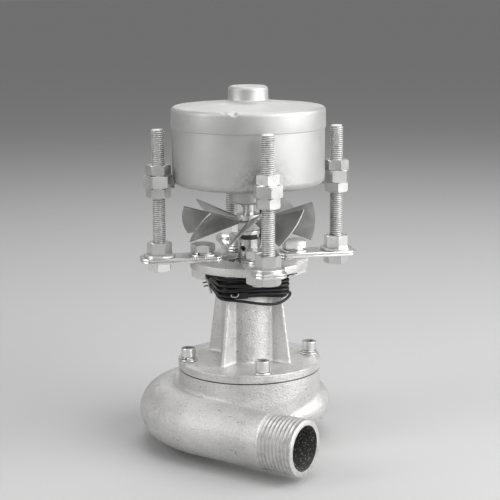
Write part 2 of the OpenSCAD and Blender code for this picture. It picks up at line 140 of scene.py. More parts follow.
class DrumSettings(bpy.types.PropertyGroup):
    colour: tint("Drum", "Colour of the generator drum's satin steel", (0.53, 0.53, 0.525))
    fan_colour: tint("Fan", "Colour of the fan's sheet", (0.45, 0.45, 0.445))


class CableSettings(bpy.types.PropertyGroup):
    diameter: length("Cable Diameter", "Outside diameter of the output cable", 0.0025, 0.001, 0.006)
    turns: whole("Turns", "Turns wound round the column's head", 13, 2, 13)
    colour: tint("Sheath", "Colour of the cable's sheath", (0.010, 0.010, 0.011))


# ---- materials


class Graph:
    """Short ways to add nodes, where a value may be another node's socket."""

    def put(self, value, socket):
        if isinstance(value, bpy.types.NodeSocket):
            self.tree.links.new(value, socket)
        else:
            socket.default_value = value

    def add(self, kind, **values):
        """A new node with its inputs given by name."""
        node = self.tree.nodes.new(kind)
        for label, value in values.items():
            self.put(value, node.inputs[label.replace("_", " ")])
        return node

    def maths(self, operation, *values, kind="ShaderNodeMath", out="Value"):
        node = self.tree.nodes.new(kind)
        node.operation = operation
        for value, socket in zip(values, node.inputs):
            self.put(value, socket)
        return node.outputs[out]


class Shader(Graph):
    """A few lines of node graph on one Principled material, in Object coordinates."""

    def __init__(self, name, colour, roughness, metallic=0.0):
        self.material = bpy.data.materials.new(name)
        self.material.use_nodes = True
        self.tree = self.material.node_tree
        self.bsdf = self.tree.nodes["Principled BSDF"]
        self.colour((*colour, 1))
        self.roughness(roughness)
        self.put(metallic, self.bsdf.inputs["Metallic"])
        self.coord = self.add("ShaderNodeTexCoord").outputs["Object"]
        self.height = None

    def stretched(self, scale):
        return self.add("ShaderNodeMapping", Scale=scale, Vector=self.coord).outputs["Vector"]

    def noise(self, scale, detail=3.0, rough=0.5, vector=None):
        return self.add("ShaderNodeTexNoise", Scale=scale, Detail=detail, Roughness=rough,
                        Vector=vector or self.coord).outputs["Fac"]

    def pits(self, scale):
        return self.add("ShaderNodeTexVoronoi", Scale=scale, Vector=self.coord).outputs["Distance"]

    def corner_spot(self, point, reach, grain):
        """Full at a point repeated in the four quadrants, falling off raggedly to 0 at the reach."""
        fold = self.maths("ABSOLUTE", self.coord, kind="ShaderNodeVectorMath", out="Vector")
        gap = self.maths("DISTANCE", fold, point, kind="ShaderNodeVectorMath")
        ragged = self.spread(self.noise(grain, 4.0, 0.7), 0.4, 0.62, 0.0, 1.6)
        return self.maths("MULTIPLY", self.spread(gap, 0.0, reach, 1.0, 0.0), ragged)

    def spread(self, value, low_in, high_in, low_out, high_out):
        return self.add("ShaderNodeMapRange", Value=value, From_Min=low_in, From_Max=high_in,
                        To_Min=low_out, To_Max=high_out).outputs["Result"]

    def ramp(self, value, *stops):
        node = self.add("ShaderNodeValToRGB", Fac=value)
        elements = node.color_ramp.elements
        while len(elements) < len(stops):
            elements.new(0.5)
        for element, (place, colour) in zip(elements, stops):
            element.position = place
            element.color = (*colour, 1)
        return node.outputs["Color"]

    def blend(self, kind, share, low, high):
        """Mixes two colours, each a socket or a plain colour, by a share that may be a socket."""
        node = self.add("ShaderNodeMix")
        node.data_type = "RGBA"
        node.blend_type = kind
        for index, value in ((0, share), (6, low), (7, high)):
            self.put((*value, 1) if isinstance(value, tuple) else value, node.inputs[index])
        return node.outputs[2]

    def colour(self, value):
        self.put(value, self.bsdf.inputs["Base Color"])

    def roughness(self, value):
        self.put(value, self.bsdf.inputs["Roughness"])

    def bump(self, socket, depth, strength=1.0):
        node = self.add("ShaderNodeBump", Strength=strength, Distance=depth, Height=socket)
        if self.height is not None:
            self.put(self.height, node.inputs["Normal"])
        self.height = node.outputs["Normal"]
        self.put(self.height, self.bsdf.inputs["Normal"])


def shade(colour, factor):
    return tuple(min(1.0, c * factor) for c in colour)


def cast_aluminium(name, colour, grain=750.0, depth=0.0006):
    """Sand-cast aluminium: grainy, softly patched, with fine dark pores and short scratches."""
    s = Shader(name, colour, 0.48, 0.8)
    patches = s.ramp(s.noise(28.0, 5.0, 0.6), (0.32, shade(colour, 0.86)), (0.5, colour),
                     (0.72, shade(colour, 1.12)))
    grit = s.ramp(s.noise(grain * 1.3, 2.0, 0.7), (0.36, shade(WHITE, 0.82)), (0.6, WHITE))
    where = s.ramp(s.noise(70.0, 3.0), (0.44, (0, 0, 0)), (0.54, WHITE))
    pores = s.ramp(s.noise(430.0, 3.0, 0.62), (0.29, (0.3, 0.29, 0.28)), (0.37, WHITE))
    scratches = s.ramp(s.noise(95.0, 4.0, 0.6, s.stretched((1.0, 3.2, 4.4))), (0.28, (0.4, 0.39, 0.38)),
                       (0.34, WHITE))
    marks = s.blend("MIX", where, WHITE, s.blend("MULTIPLY", 1.0, pores, scratches))
    s.colour(s.blend("MULTIPLY", 1.0, s.blend("MULTIPLY", 1.0, patches, grit), marks))
    s.roughness(s.spread(s.noise(60.0, 4.0), 0.3, 0.7, 0.42, 0.54))
    s.bump(s.noise(grain, 3.0, 0.65), depth)
    s.bump(s.noise(120.0, 4.0, 0.6), 0.0008)
    return s.material


def bore_shade(name, colour):
    """Rough inside of a casting, painted dark as the shade in a bore, with small bright grains."""
    s = Shader(name, colour, 0.6, 0.2)
    s.colour(s.ramp(s.pits(480.0), (0.14, (0.7, 0.7, 0.68)), (0.24, colour), (0.6, shade(colour, 0.55))))
    s.bump(s.noise(600.0, 3.0, 0.65), 0.0006)
    return s.material


def threaded(name, colour, metallic, roughness, dark=0.35):
    """Cut thread: crests painted a little lighter and roots painted darker, as painted highlight and shade on its
    ridges.
    """
    s = Shader(name, colour, roughness, metallic)
    mark = s.add("ShaderNodeAttribute")
    mark.attribute_name = "groove"
    # painted shade in the thread's roots and a slight painted highlight on its crests, by the groove mark
    cut = s.ramp(mark.outputs["Fac"], (0.1, shade(colour, 1.05)), (0.9, shade(colour, dark)))
    worn = s.ramp(s.noise(160.0, 5.0, 0.7), (0.34, (0.72, 0.72, 0.72)), (0.56, WHITE))
    s.colour(s.blend("MULTIPLY", 1.0, cut, worn))
    s.roughness(s.spread(s.noise(220.0, 3.0), 0.3, 0.7, roughness - 0.06, roughness + 0.08))
    return s.material


def satin_drum(name, colour, weld):
    """Satin silver drum: soft clouds of shine, fine grit, faint scuffs, and round the welds heat stains mixed with
    a painted shadow of the nuts and bolts.
    """
    s = Shader(name, colour, 0.5, 0.78)
    clouds = s.ramp(s.noise(22.0, 4.0, 0.55), (0.3, shade(colour, 0.93)), (0.7, shade(colour, 1.06)))
    # darker ragged patches round the four welds: partly heat stains, partly painted shadow of the nuts and bolts
    s.colour(s.blend("MIX", s.corner_spot(weld, 0.030, 340.0), clouds, shade(colour, 0.62)))
    s.roughness(s.spread(s.noise(48.0, 5.0, 0.6), 0.32, 0.7, 0.48, 0.6))
    s.bump(s.noise(1100.0, 2.0), 0.00005)
    s.bump(s.noise(30.0, 2.0), 0.0006, 0.5)
    return s.material


# roughness, metallic, specular level;
# colour: its noise, then where and by what factor it is darkest and lightest;
# shine: its noise, the part of it that counts, and how far roughness goes down and up;
# grain: its noise, stretch and depth
FINISHES = {
    "machined": ((0.34, 0.8, 0.5), ((90.0, 4.0), (0.3, 0.9), (0.7, 1.1)),
                 ((150.0, 3.0), 0.3, 0.7, 0.08, 0.08), ((900.0, 2.0), (1, 1, 12), 0.00006)),
    "zinc": ((0.3, 1.0, 0.5), ((70.0, 3.0), (0.3, 0.94), (0.7, 1.05)),
             ((110.0, 3.0), 0.35, 0.65, 0.03, 0.04), None),
    "sheet": ((0.42, 0.8, 0.5), ((34.0, 5.0, 0.6), (0.3, 0.8), (0.7, 1.15)),
              ((70.0, 4.0), 0.3, 0.7, 0.1, 0.13), ((500.0, 2.0), (1, 6, 1), 0.00005)),
    "ground": ((0.24, 1.0, 0.5), ((80.0, 3.0), (0.3, 0.85), (0.7, 1.1)),
               ((120.0, 3.0), 0.3, 0.7, 0.08, 0.12), ((260.0, 3.0, 0.6), (1, 1, 14), 0.00005)),
    "rubber": ((0.5, 0.0, 0.35), ((140.0, 4.0, 0.6), (0.35, 1), (0.8, 1.7)),
               ((220.0, 3.0), 0.3, 0.7, 0.08, 0.14), ((900.0, 2.0), None, 0.00004)),
    "plastic": ((0.45, 0.0, 0.5), ((120.0, 3.0), (0.3, 0.85), (0.7, 1)), None, ((500.0, 2.0), None, 0.00005)),
    "dull": ((0.5, 0.7, 0.5), ((60.0, 5.0, 0.6), (0.3, 0.7), (0.7, 1.1)), None, ((400.0, 3.0), None, 0.0001)),
}


def finish(kind, name, colour, roughness=None):
    """One of the plain finishes, whose colour, shine and grain each vary by a noise of their own."""
    (usual, metallic, specular), clouds, shine, grain = FINISHES[kind]
    roughness = roughness or usual
    s = Shader(name, colour, roughness, metallic)
    s.bsdf.inputs["Specular IOR Level"].default_value = specular
    spots, *stops = clouds
    s.colour(s.ramp(s.noise(*spots), *((place, shade(colour, factor)) for place, factor in stops)))
    if shine:
        spots, least, most, down, up = shine
        s.roughness(s.spread(s.noise(*spots), least, most, roughness - down, roughness + up))
    if grain:
        spots, stretch, depth = grain
        s.bump(s.noise(*spots, vector=stretch and s.stretched(stretch)), depth)
    return s.material


# ---- meshes


def place(obj, material, slot, *nodes, body="frame"):
    """Gives a finished piece its material and body, and hides the CAD nodes that it stands for; its slot is not
    used.
    """
    obj.data.materials.clear()
    obj.data.materials.append(material)
    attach(obj, body)
    if nodes:
        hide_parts(*nodes)
    return obj


def new_object(name, data):
    obj = bpy.data.objects.new(name, data)
    bpy.context.scene.collection.objects.link(obj)
    return obj


def mesh_piece(name, points, faces, crease=35):
    mesh = bpy.data.meshes.new(name)
    mesh.from_pydata([tuple(p) for p in points], [], faces)
    mesh.validate()
    smooth(mesh, crease)
    with edited(mesh, mesh) as bm:
        bmesh.ops.recalc_face_normals(bm, faces=bm.faces)
    return new_object(name, mesh)


def baked(obj):
    """Turns an object with modifiers into a plain mesh, and closes its modifiers."""
    graph = bpy.context.evaluated_depsgraph_get()
    graph.update()
    mesh = bpy.data.meshes.new_from_object(obj.evaluated_get(graph))
    obj.modifiers.clear()
    old, obj.data = obj.data, mesh
    bpy.data.meshes.remove(old)
    mesh.name = obj.name
    return obj


def modify(obj, kind, **values):
    modifier = obj.modifiers.new(kind.lower(), kind)
    for key, value in values.items():
        setattr(modifier, key, value)


def smooth(mesh, crease):
    """Shades a mesh smooth, but for edges sharper than an angle in degrees."""
    mesh.shade_smooth()
    mesh.set_sharp_from_angle(angle=math.radians(crease))


def discard(obj):
    mesh = obj.data
    bpy.data.objects.remove(obj)
    bpy.data.meshes.remove(mesh)


@contextmanager
def edited(mesh, *sources):
    """An editable copy of the source meshes that is written to a mesh when its edits are done."""
    bm = bmesh.new()
    for source in sources:
        bm.from_mesh(source)
    yield bm
    bm.to_mesh(mesh)
    bm.free()


def joined(name, objects):
    """One mesh out of several, in place."""
    mesh = bpy.data.meshes.new(name)
    with edited(mesh, *(obj.data for obj in objects)):
        for obj in objects:
            discard(obj)
    mesh.shade_smooth()
    return new_object(name, mesh)


def lathe(name, outline, segments, crease=35):
    """Closed ring or solid from an outline of (radius, height) corners, run once round."""
    points, faces, rows = [], [], []
    for r, z in outline:
        if r < TINY:
            rows.append([len(points)] * segments)
            points.append((0.0, 0.0, z))
            continue
        rows.append(range(len(points), len(points) + segments))
        for k in range(segments):
            a = 2 * math.pi * k / segments
            points.append((r * math.cos(a), r * math.sin(a), z))
    for i, row in enumerate(rows):
        nxt = rows[(i + 1) % len(rows)]
        for k in range(segments):
            n = (k + 1) % segments
            face = [row[k], row[n], nxt[n], nxt[k]]
            face = [v for j, v in enumerate(face) if v != face[j - 1]]
            if len(set(face)) > 2:
                faces.append(face)
    return mesh_piece(name, points, faces, crease)


def slab(name, radius, z0, z1, segments):
    """A plain disc or round bar, by the heights of its ends."""
    return lathe(name, [(0, z0), (radius, z0), (radius, z1), (0, z1)], segments)


def ring(name, inner, outer, z0, z1, ease, segments, steps=4):
    """A flat ring with eased edges, by the heights of its faces."""
    return lathe(name, rounded([(inner, z0), (outer, z0), (outer, z1), (inner, z1)], ease, steps), segments)


def edge_arc(r, z, radius, start):
    """Points of a quarter round about (r, z), counter-clockwise from an angle in degrees."""
    turns = [math.radians(start + a) for a in range(0, 91, 10)]
    return [(r + radius * math.cos(a), z + radius * math.sin(a)) for a in turns]


def rounded(outline, radius, steps=4):
    """The outline with every corner eased by a small arc."""
    out = []
    count = len(outline)
    for i in range(count):
        p, c, n = (Vector(outline[j % count]) for j in (i - 1, i, i + 1))
        a, b = (p - c), (n - c)
        cut = min(radius, a.length * 0.45, b.length * 0.45)
        if c.x < TINY or cut < 1e-6:
            out.append(tuple(c))
            continue
        a, b = c + a.normalized() * cut, c + b.normalized() * cut
        for k in range(steps + 1):
            t = k / steps
            out.append(tuple(a.lerp(c, t).lerp(c.lerp(b, t), t)))
    return out


def eased(node, width, material, slot, name=None, segments=2):
    """A copy of a CAD node with its sharp edges broken, in the node's place."""
    source = frame["nodes"][node]
    mesh = bpy.data.meshes.new(name or node + "_eased")
    with edited(mesh, source.data) as bm:
        bmesh.ops.remove_doubles(bm, verts=bm.verts, dist=1e-6)
        bmesh.ops.dissolve_limit(bm, angle_limit=math.radians(1.0), verts=bm.verts, edges=bm.edges)
    obj = new_object(mesh.name, mesh)
    modify(obj, "BEVEL", width=width, segments=segments, limit_method="ANGLE", angle_limit=math.radians(32),
           use_clamp_overlap=True)
    smooth(baked(obj).data, 50)
    modify(obj, "WEIGHTED_NORMAL", keep_sharp=True)
    baked(obj)
    return place(obj, material, slot, node, body=body_of(source)[0])


def darken(obj, material, inside):
    """Gives the faces whose centres pass a test their own dark material, used as painted shade in recesses."""
    obj.data.materials.append(material)
    for face in obj.data.polygons:
        if inside(face.center):
            face.material_index = 1


def polar(angle, radius=1.0):
    return Vector((radius * math.cos(angle), radius * math.sin(angle), 0))


def at_corner(angle, radius):
    return polar(math.radians(angle), radius)


# ---- geometry node trees


class Tree(Graph):
    """A geometry tree with named inputs, whose result is realized and given a material."""

    def __init__(self, name, **sizes):
        self.tree = bpy.data.node_groups.new(name, "GeometryNodeTree")
        socket = self.tree.interface.new_socket
        socket("Geometry", in_out="INPUT", socket_type="NodeSocketGeometry")
        for label, value in sizes.items():
            socket(label, in_out="INPUT", socket_type="NodeSocketFloat").default_value = value
        socket("Material", in_out="INPUT", socket_type="NodeSocketMaterial")
        socket("Geometry", in_out="OUTPUT", socket_type="NodeSocketGeometry")
        self.inputs = self.add("NodeGroupInput").outputs

    def node(self, kind, **values):
        """The first output of a new node."""
        return self.add("GeometryNode" + kind, **values).outputs[0]

    def vector(self, x, y, z):
        return self.add("ShaderNodeCombineXYZ", X=x, Y=y, Z=z).outputs[0]

    def end(self, geometry):
        real = self.node("RealizeInstances", Geometry=geometry)
        paint = self.node("SetMaterial", Geometry=real, Material=self.inputs["Material"])
        self.put(paint, self.add("NodeGroupOutput").inputs[0])
        return self.tree


def thread_tree():
    """Cuts a V-groove along a helix into a tube that stands on Z, fading out at both ends."""
    tree = Tree("helical_thread", Pitch=0.00175, Depth=0.0009, Start=0.0, End=0.1, Fade=0.002)
    m, size = tree.maths, tree.inputs
    x, y, z = tree.add("ShaderNodeSeparateXYZ", Vector=tree.node("InputPosition")).outputs
    turn = m("DIVIDE", m("ARCTAN2", y, x), 2 * math.pi)
    phase = m("FRACT", m("SUBTRACT", m("DIVIDE", z, size["Pitch"]), turn))
    vee = m("ABSOLUTE", m("SUBTRACT", m("MULTIPLY", phase, 2.0), 1.0))
    groove = m("MINIMUM", m("MULTIPLY", m("SUBTRACT", 1.0, vee), 1.25), 1.0)
    rise = m("DIVIDE", m("SUBTRACT", z, size["Start"]), size["Fade"])
    fall = m("DIVIDE", m("SUBTRACT", size["End"], z), size["Fade"])
    share = m("MINIMUM", m("MAXIMUM", m("MINIMUM", rise, fall), 0.0), 1.0)
    mark = m("MULTIPLY", groove, share)
    depth = m("MULTIPLY", mark, size["Depth"])
    radius = m("SQRT", m("ADD", m("MULTIPLY", x, x), m("MULTIPLY", y, y)))
    keep = m("DIVIDE", m("SUBTRACT", radius, depth), m("MAXIMUM", radius, 1e-6))
    spot = tree.vector(m("MULTIPLY", x, keep), m("MULTIPLY", y, keep), z)
    moved = tree.node("SetPosition", Geometry=size["Geometry"], Position=spot)
    # the stored groove mark is also the mask for the painted shade in the thread's roots
    return tree.end(tree.node("StoreNamedAttribute", Geometry=moved, Name="groove", Value=mark))


def corner_tree():
    """Repeats a piece made on +X at the four diagonals, each turned to face outwards."""
    tree = Tree("at_four_corners", Radius=0.05, Height=0.0)
    m, size = tree.maths, tree.inputs
    angle = m("MULTIPLY_ADD", tree.node("InputIndex"), math.pi / 2, -math.pi / 4)
    spot = tree.vector(m("MULTIPLY", m("COSINE", angle), size["Radius"]),
                       m("MULTIPLY", m("SINE", angle), size["Radius"]), size["Height"])
    points = tree.node("SetPosition", Geometry=tree.node("Points", Count=4), Position=spot)
    return tree.end(tree.node("InstanceOnPoints", Points=points, Instance=size["Geometry"],
                              Rotation=tree.vector(0.0, 0.0, angle)))


def with_nodes(obj, tree, **values):
    """Runs a node tree on an object, with its inputs set by name, and bakes the result."""
    modifier = obj.modifiers.new(tree.name, "NODES")
    modifier.node_group = tree
    ids = {s.name: s.identifier for s in tree.interface.items_tree if s.in_out == "INPUT"}
    for label, value in values.items():
        modifier[ids[label]] = value
    return baked(obj)


def bar(name, radius, z0, z1, pitch, rows_per_pitch, segments, chamfer=0.0012, bore=0.0):
    """A plain round bar or tube on Z with enough rings to take a thread."""
    run = z1 - z0 - 2 * chamfer
    count = max(2, int(round(run / pitch * rows_per_pitch)))
    outline = [(bore, z0), (radius - chamfer, z0)]
    outline += [(radius, z0 + chamfer + run * k / count) for k in range(count)]
    outline += [(radius, z1 - chamfer), (radius - chamfer, z1), (bore, z1)]
    return lathe(name, outline, segments, crease=60)


# ---- castings


def fused(name, shells, voxel, passes, cutters=()):
    """Shells melted into one casting with filleted joints, then hollowed by the cutters."""
    obj = joined(name, shells)
    modify(obj, "REMESH", mode="VOXEL", voxel_size=voxel, use_smooth_shade=True)
    if passes:
        modify(obj, "SMOOTH", factor=0.5, iterations=passes)
    baked(obj)
    for cutter in cutters:
        modify(obj, "BOOLEAN", operation="DIFFERENCE", solver="MANIFOLD", object=cutter)
        baked(obj)
        discard(cutter)
    smooth(obj.data, 50)
    return obj


def closed_tube(name, rings):
    """Skin over rings of points, each the same count, with flat ends."""
    count = len(rings[0])
    points = [p for ring in rings for p in ring]
    faces = []
    for i in range(len(rings) - 1):
        for k in range(count):
            n = (k + 1) % count
            faces.append((i * count + k, i * count + n, (i + 1) * count + n, (i + 1) * count + k))
    faces.append(tuple(reversed(range(count))))
    faces.append(tuple(range(len(points) - count, len(points))))
    return mesh_piece(name, points, faces)


class Spiral:
    """Sizes of the spiral casing, read from the CAD casing where they can be."""

    turn, taper = 330.0, 1.8
    height, wall = 0.030, 0.0048
    joint_r, joint_centre = 0.0244, 0.0804
    tail_r, tail_centre = 0.010, 0.0465
    steps, sides = 120, 64

    def ring(self, s, inset, sides):
        """Section of the tube at a share of its run, drawn in by an inset."""
        a = math.radians(-90 - self.turn * s)
        rc = self.joint_centre + (self.tail_centre - self.joint_centre) * s
        rt = self.joint_r + (self.tail_r - self.joint_r) * s ** self.taper - inset
        out = []
        for k in range(sides):
            b = 2 * math.pi * k / sides
            r = rc + rt * math.cos(b)
            out.append((r * math.cos(a), r * math.sin(a), self.height + rt * math.sin(b)))
        return out

    def along_pipe(self, obj):
        """Lays a bar that stands on Z along the inlet pipe."""
        obj.data.transform(Matrix(((0, 0, 1, 0), (1, 0, 0, -self.joint_centre), (0, 1, 0, self.height),
                                   (0, 0, 0, 1))))
        return obj

    def shell(self, name, inset):
        """The tube's skin, whose tail runs on a little and closes in a dome."""
        rings = [self.ring(i / self.steps, inset, self.sides) for i in range(self.steps + 1)]
        last = np.array(rings[-1])
        centre = last.mean(axis=0)
        before, end = (np.array(self.ring(s, 0, 4)).mean(axis=0) for s in (0.99, 1.0))
        step = (end - before) / np.linalg.norm(end - before) * (self.tail_r - inset)
        for a in (math.radians(15 * k) for k in range(1, 7)):
            narrow = max(math.cos(a), 0.02)
            rings.append([tuple(centre + (p - centre) * narrow + step * math.sin(a)) for p in last])
        return closed_tube(name, rings)


class HYDRO_OT_casing(bpy.types.Operator):
    """Casts the spiral casing with its neck, outlet ring and threaded inlet pipe"""

    bl_idname = "hydro.casing"
    bl_label = "Turbine Casing"
    bore_r = 0.0192
    thread_r = 0.0239
    thread_len = 0.0325
    outlet_bore, outlet_r = 0.030, 0.037

    def execute(self, context):
        cast = context.scene.hydro_casting
        s = Spiral()
        neck_top, mouth = high("volute_casing").z, high("volute_casing").x
        neck_r = reach("casing_gasket") + 0.0006
        shoulder = mouth - self.thread_len
        lap = neck_top + 0.004
        shells = [
            s.shell("spiral", 0.0),
            s.along_pipe(slab("pipe", s.joint_r + 0.0001, -0.004, shoulder, 96)),
            lathe("neck", [(0, 0.006), (0.049, 0.006), (0.057, 0.011), (0.060, 0.020),
                           (0.0625, 0.034), (neck_r, 0.046), (neck_r, lap), (0, lap)], 160),
            slab("outlet", self.outlet_r, 0.0008, 0.014, 128),
        ]
        hollow = [
            s.shell("water_way", s.wall),
            s.along_pipe(slab("bore", self.bore_r, -0.001, mouth + 0.01, 96)),
            lathe("chamber", [(0, -0.01), (self.outlet_bore, -0.01), (self.outlet_bore, 0.013),
                              (0.040, 0.013), (0.040, neck_top), (0.09, neck_top), (0.09, 0.1),
                              (0, 0.1)], 128),
        ]
        body = fused("spiral_casting", shells, cast.voxel, cast.soften, hollow)
        metal = cast_aluminium("sand_cast_casing", cast.colour)
        place(body, metal, "cast_aluminium", "volute_casing")
        # the bore's faces get a dark material: painted shade inside the casting's inlet
        dark = bore_shade("bore_painted_shade", (0.15, 0.15, 0.147))
        darken(body, dark, self.in_bore)

        turned = finish("machined", "turned_aluminium", shade(cast.colour, 1.05))
        face = ring("outlet_ring", self.outlet_bore, self.outlet_r, 0.0, 0.0035, 0.0004, 128)
        place(face, turned, "cast_aluminium")

        pitch = context.scene.hydro_fasteners.pipe_pitch
        pipe = bar("inlet_thread", self.thread_r, shoulder - 0.002, mouth, pitch, 14, 96, 0.0005,
                   self.bore_r)
        with_nodes(pipe, thread_tree(), Pitch=pitch, Depth=0.0008, Start=shoulder + 0.0005,
                   End=mouth - 0.0006, Fade=0.0014, Material=metal)
        s.along_pipe(pipe)
        crests = threaded("threaded_aluminium", shade(cast.colour, 0.94), 0.8, 0.5, 0.8)
        place(pipe, crests, "cast_aluminium")
        # painted shade inside the threaded pipe's bore as well
        darken(pipe, dark, self.in_bore)
        return {"FINISHED"}

    def in_bore(self, centre):
        """Whether a face lies inside the inlet pipe's bore, where shade is painted."""
        across = math.hypot(centre.y + Spiral.joint_centre, centre.z - Spiral.height)
        return centre.x > 0.0 and across < self.bore_r + 0.00025


class HYDRO_OT_column(bpy.types.Operator):
    """Casts the ribbed column with filleted ribs, and turns its two flanges and bearing seat"""

    bl_idname = "hydro.column"
    bl_label = "Bearing Column"
    flange_t, top_r, shaft_way_r = 0.007, 0.0525, 0.0125
    rib_t, rib_foot, rib_neck = 0.004, 0.0437, 0.0356

    def execute(self, context):
        cast = context.scene.hydro_casting
        z0, z1 = span("bearing_column")
        base_r = high("bearing_column").x
        face, under = z0 + self.flange_t, z1 - self.flange_t
        shells = [
            lathe("tube", [(0, face - 0.004), (0.0254, face - 0.004), (0.0246, z1 - 0.026),
                           (0.0262, z1 - 0.022), (0.0262, under + 0.004), (0, under + 0.004)], 96),
            slab("foot_slab", 0.050, face - 0.005, face - 0.0001, 96),
            slab("head_slab", 0.046, under + 0.0001, under + 0.005, 96),
            *(self.rib(k, face, under) for k in range(4)),
        ]
        way = self.shaft_way_r
        hollow = [lathe("shaft_way", [(0, z0 - 0.01), (way, z0 - 0.01), (way, z1 - 0.02),
                                      (SEAT_R, z1 - 0.017), (SEAT_R, z1 + 0.01), (0, z1 + 0.01)], 96)]
        core = fused("column_casting", shells, min(cast.voxel, 0.0011), max(3, cast.soften - 3), hollow)
        metal = bpy.data.materials["sand_cast_casing"]
        place(core, metal, "cast_aluminium", "bearing_column")
        skimmed = cast_aluminium("skimmed_casting", shade(cast.colour, 1.06), 1400.0, 0.00015)
        for name, inner, outer, foot, top, material in (
                ("column_foot", way, base_r, z0, face, metal),
                ("column_head", SEAT_R, self.top_r, under, z1, skimmed)):
            place(ring(name, inner, outer, foot, top, 0.0006, 160), material, "cast_aluminium")
        return {"FINISHED"}

    def rib(self, k, face, under):
        """One tapering rib, from the shaft axis out, between the two flanges."""
        d = polar(k * math.pi / 2)
        side = Vector((-d.y, d.x, 0)) * (self.rib_t / 2)
        foot, neck = self.rib_foot, self.rib_neck
        plan = [(0.0, face - 0.003), (foot, face - 0.003), (foot - 0.0004, face + 0.004), (neck, 0.128),
                (neck, under + 0.003), (0.0, under + 0.003)]
        return closed_tube(f"rib_{k}", [[d * r + Vector((0, 0, z)) + w for r, z in plan]
                                        for w in (side, -side)])


# ---- fasteners


def spring_ring(name, outer, inner, height):
    """Split spring washer, flattened until its ends nearly meet."""
    steps, gap, rings, chamfer = 72, 14.0, [], 0.0006
    for i in range(steps + 1):
        t = i / steps
        a = math.radians(gap / 2 + (360 - gap) * t + 60)
        lift = (t - 0.5) * height * 0.22
        section = [(inner, 0.04), (outer - chamfer, 0.0), (outer, 0.3), (outer, 0.7), (outer - chamfer, 1.0),
                   (inner, 0.96)]
        rings.append([(r * math.cos(a), r * math.sin(a), height * (0.06 + 0.88 * z) + lift * 0.5)
                      for r, z in section])
    return closed_tube(name, rings)


def flat_ring(name, outer, inner, height):
    """Plain washer with stamped, rounded edges."""
    return ring(name, inner, outer, 0, height, 0.0007, 96)


def link_plate(name, outer, inner, height):
    """Flat link on +X with clipped corners, its edges eased all round."""
    half, clip, ease = 0.0135, 0.005, 0.0007
    plan = rounded([(outer - clip, -half), (outer, clip - half), (outer, half - clip),
                    (outer - clip, half), (inner + clip, half), (inner, half - clip),
                    (inner, clip - half), (inner + clip, -half)], 0.0015)
    middle, reach_x = (inner + outer) / 2, (outer - inner) / 2
    rings = []
    for inset, z in ((2 * ease, 0), (ease, 0), (0.3 * ease, 0.3 * ease), (0, ease), (0, height - ease),
                     (0.3 * ease, height - 0.3 * ease), (ease, height), (2 * ease, height)):
        rings.append([(middle + (x - middle) * (1 - inset / reach_x), y * (1 - inset / half), z)
                      for x, y in plan])
    return closed_tube(name, rings)


def cut_below(obj, z):
    """Keeps what is under a height and closes the cut."""
    with edited(obj.data, obj.data) as bm:
        bmesh.ops.bisect_plane(bm, geom=bm.verts[:] + bm.edges[:] + bm.faces[:], dist=TINY,
                               plane_co=(0, 0, z), plane_no=(0, 0, 1), clear_outer=True)
        bmesh.ops.holes_fill(bm, edges=[e for e in bm.edges if e.is_boundary])


